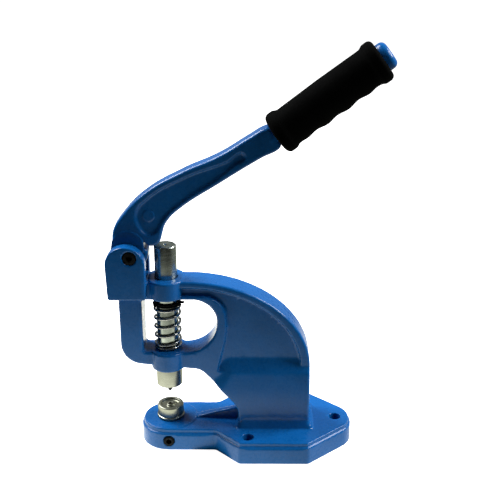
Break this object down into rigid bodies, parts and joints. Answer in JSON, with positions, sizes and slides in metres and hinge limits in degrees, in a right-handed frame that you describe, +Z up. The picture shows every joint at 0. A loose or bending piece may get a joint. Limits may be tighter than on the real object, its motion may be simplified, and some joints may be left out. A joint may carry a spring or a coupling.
{
  "type": "arbor press",
  "caption": "Cast bench press with a curved hand lever whose nose pushes a sprung round ram between two setting dies, on a flat bolt-down base.",
  "frame": {"origin": "on the ram's axis, at the flat underside of the base", "axes": "+X runs from the nose to the back of the press, +Z up; the press is symmetric about Y = 0, apart from its screws, its lug ring and its spring; seen from -Y the lever rises to the right"},
  "size_m": [0.2482, 0.1, 0.3726],
  "materials": {
    "enamel_frame": "gloss blue enamel over a cast surface",
    "enamel_lever": "gloss blue enamel over a cast surface",
    "grip_foam": "matte black foam rubber",
    "black_fasteners": "black oxide, satin",
    "plated_washers": "zinc plated, satin",
    "ram_steel": "turned and polished steel",
    "spring_steel": "bright plated wire",
    "die_nickel": "bright nickel plate"
  },
  "bodies": {
    "frame": {"frame_casting": "enamel_frame", "pivot_bolt": "black_fasteners", "pivot_nut": "black_fasteners", "pivot_flat_washer": "plated_washers", "pivot_lock_washer": "black_fasteners", "thrust_washer_near": "plated_washers", "thrust_washer_far": "plated_washers", "lower_die": "die_nickel", "lower_die_set_screw": "black_fasteners", "return_spring": "spring_steel"},
    "lever": {"lever_casting": "enamel_lever", "handle_grip": "grip_foam"},
    "ram": {"ram": "ram_steel", "ram_circlip": "black_fasteners", "spring_top_washer": "black_fasteners", "upper_die": "die_nickel", "upper_die_pilot": "black_fasteners"}
  },
  "joints": [
    {"name": "lever_hinge", "type": "hinge", "parent": "frame", "child": "lever", "pos_m": [-0.0294, 0, 0.1898], "axis": [0, 1, 0], "range_deg": [0, 50], "stiffness_Nm_per_rad": 2.4, "springref_deg": -34.38},
    {"name": "ram_slide", "type": "slide", "parent": "frame", "child": "ram", "axis": [0, 0, -1], "range_m": [0, 0.0196], "stiffness_N_per_m": 600, "springref_m": -0.013, "deforming": ["return_spring"]}
  ],
  "couplings": [
    {"joint": "ram_slide", "follows": "lever_hinge", "m_per_rad": 0.02244}
  ]
}
